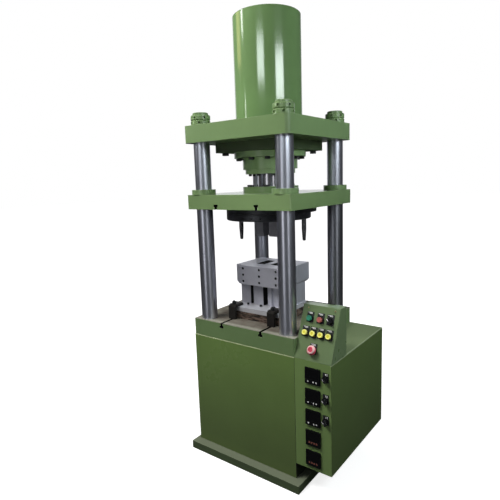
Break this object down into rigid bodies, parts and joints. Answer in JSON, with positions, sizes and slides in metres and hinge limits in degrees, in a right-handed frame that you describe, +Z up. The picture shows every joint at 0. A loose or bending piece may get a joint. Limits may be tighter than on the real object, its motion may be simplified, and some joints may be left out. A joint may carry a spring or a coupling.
{
  "type": "hydraulic press",
  "caption": "Four-column hydraulic press with a top cylinder, sliding platen, tee-slotted bed, forming die, side control cabinet and sloped push-button console.",
  "frame": {"origin": "on the floor, under the ram axis, midway between the columns", "axes": "+X to the operator's right, +Y to the rear, +Z up along the ram axis"},
  "size_m": [0.797, 0.672, 2.173],
  "materials": {
    "green_paint": "gloss enamel, lightly worn",
    "dark_green_paint": "satin enamel",
    "ground_steel": "ground and polished",
    "machined_steel": "milled",
    "worn_steel": "milled, stained and rusty",
    "dark_steel": "dark turned steel",
    "black_oxide": "blackened",
    "bronze": "turned",
    "seal": "moulded",
    "pipe_steel": "drawn tube",
    "motor_paint": "satin",
    "pump_alloy": "cast and milled",
    "black_plastic": "fine texture",
    "green_plastic": "moulded",
    "red_plastic": "moulded",
    "yellow_plastic": "moulded",
    "stop_red": "moulded"
  },
  "bodies": {
    "frame": {"base_plate": "dark_green_paint", "cabinet": "green_paint", "rear_cover": "green_paint", "cover_screws": "machined_steel", "bed": "green_paint", "columns": "ground_steel", "column_nuts": "green_paint", "foot_nuts": "black_oxide", "crown": "green_paint", "cylinder_barrel": "green_paint", "cylinder_bolts": "black_oxide", "gland_head": "green_paint", "gland_bolts": "black_oxide", "gland_ring": "green_paint", "gland_ring_screws": "black_oxide", "rod_bush": "bronze", "rod_packing": "seal", "pressure_pipe": "pipe_steel", "return_pipe": "pipe_steel", "die_body": "machined_steel", "die_front_plate": "machined_steel", "die_screws": "black_oxide", "die_risers": "machined_steel", "die_base": "machined_steel", "die_bolster": "worn_steel", "clamp_straps": "black_oxide", "clamp_bolts": "black_oxide", "control_cabinet": "green_paint", "console": "green_paint", "controllers": "black_plastic", "timers": "black_plastic", "legend_plates": "black_plastic", "button_bezels": "black_plastic", "oil_tank": "dark_green_paint", "tank_lid": "dark_green_paint", "pump_motor": "motor_paint", "gear_pump": "pump_alloy", "valve_block": "pump_alloy", "solenoid_valves": "black_plastic"},
    "ram": {"ram_rod": "ground_steel", "piston": "machined_steel", "platen": "green_paint", "ram_flange": "green_paint", "ram_bolts": "black_oxide", "guide_bushes": "green_paint", "adapter_disc": "dark_steel", "disc_bolts": "black_oxide", "guide_pins": "dark_steel", "punch": "machined_steel"},
    "green_button": {"green_button": "green_plastic"},
    "red_button": {"red_button": "red_plastic"},
    "yellow_button_1": {"yellow_button_1": "yellow_plastic"},
    "yellow_button_2": {"yellow_button_2": "yellow_plastic"},
    "yellow_button_3": {"yellow_button_3": "yellow_plastic"},
    "yellow_button_4": {"yellow_button_4": "yellow_plastic"},
    "emergency_stop": {"emergency_stop": "stop_red"},
    "console_selector": {"console_selector": "black_plastic"},
    "panel_selector_1": {"panel_selector_1": "black_plastic"},
    "panel_selector_2": {"panel_selector_2": "black_plastic"},
    "panel_selector_3": {"panel_selector_3": "black_plastic"}
  },
  "joints": [
    {"name": "ram_slide", "type": "slide", "parent": "frame", "child": "ram", "axis": [0, 0, 1], "range_m": [-0.21, 0.035]},
    {"name": "green_button_press", "type": "slide", "parent": "frame", "child": "green_button", "axis": [0, -0.9223, 0.3864], "range_m": [-0.004, 0], "stiffness_N_per_m": 1500},
    {"name": "red_button_press", "type": "slide", "parent": "frame", "child": "red_button", "axis": [0, -0.9223, 0.3864], "range_m": [-0.004, 0], "stiffness_N_per_m": 1500},
    {"name": "yellow_button_1_press", "type": "slide", "parent": "frame", "child": "yellow_button_1", "axis": [0, -0.9223, 0.3864], "range_m": [-0.004, 0], "stiffness_N_per_m": 1500},
    {"name": "yellow_button_2_press", "type": "slide", "parent": "frame", "child": "yellow_button_2", "axis": [0, -0.9223, 0.3864], "range_m": [-0.004, 0], "stiffness_N_per_m": 1500},
    {"name": "yellow_button_3_press", "type": "slide", "parent": "frame", "child": "yellow_button_3", "axis": [0, -0.9223, 0.3864], "range_m": [-0.004, 0], "stiffness_N_per_m": 1500},
    {"name": "yellow_button_4_press", "type": "slide", "parent": "frame", "child": "yellow_button_4", "axis": [0, -0.9223, 0.3864], "range_m": [-0.004, 0], "stiffness_N_per_m": 1500},
    {"name": "emergency_stop_press", "type": "slide", "parent": "frame", "child": "emergency_stop", "axis": [0, -0.9223, 0.3864], "range_m": [-0.005, 0]},
    {"name": "console_selector_turn", "type": "hinge", "parent": "frame", "child": "console_selector", "pos_m": [0.441, -0.22045, 0.79302], "axis": [0, -0.9223, 0.3864], "range_deg": [-90, 0]},
    {"name": "panel_selector_1_turn", "type": "hinge", "parent": "frame", "child": "panel_selector_1", "pos_m": [0.453, -0.29, 0.563], "axis": [0, -1, 0], "range_deg": [-90, 0]},
    {"name": "panel_selector_2_turn", "type": "hinge", "parent": "frame", "child": "panel_selector_2", "pos_m": [0.453, -0.29, 0.466], "axis": [0, -1, 0], "range_deg": [-90, 0]},
    {"name": "panel_selector_3_turn", "type": "hinge", "parent": "frame", "child": "panel_selector_3", "pos_m": [0.453, -0.29, 0.369], "axis": [0, -1, 0], "range_deg": [-90, 0]}
  ]
}
